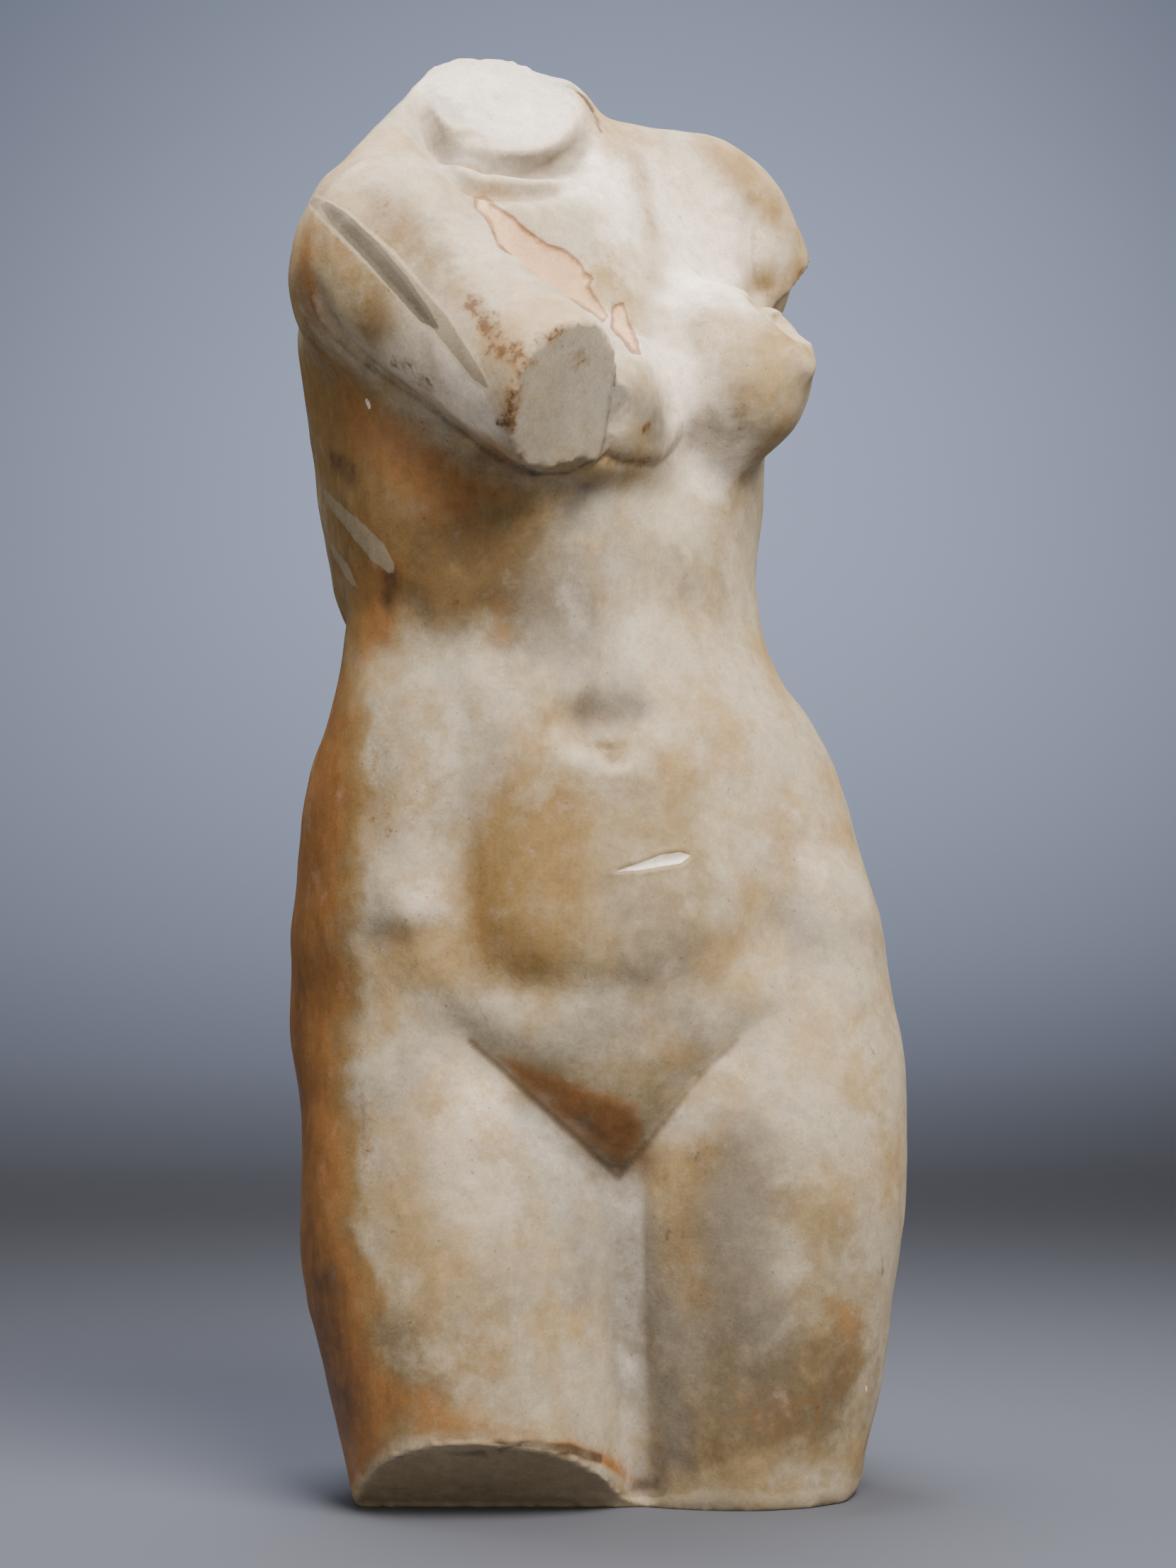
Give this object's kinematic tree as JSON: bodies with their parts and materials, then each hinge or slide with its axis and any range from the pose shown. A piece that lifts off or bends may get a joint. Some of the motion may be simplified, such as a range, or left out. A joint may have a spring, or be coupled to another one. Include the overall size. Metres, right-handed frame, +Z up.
{
  "type": "plaster torso",
  "caption": "Standing female torso cast in plaster, headless, one upper arm drawn across the chest and cut off, thighs sawn off to stand on.",
  "frame": {"origin": "on the ground under the middle of the torso's bounding box", "axes": "+Z up along the body, -Y the way the pelvis faces, +X towards the figure's left side"},
  "size_m": [0.2682, 0.2268, 0.612],
  "materials": {
    "plaster": "matt, aged and stained plaster"
  },
  "bodies": {
    "root": {"plaster_torso": "plaster"}
  },
  "joints": []
}
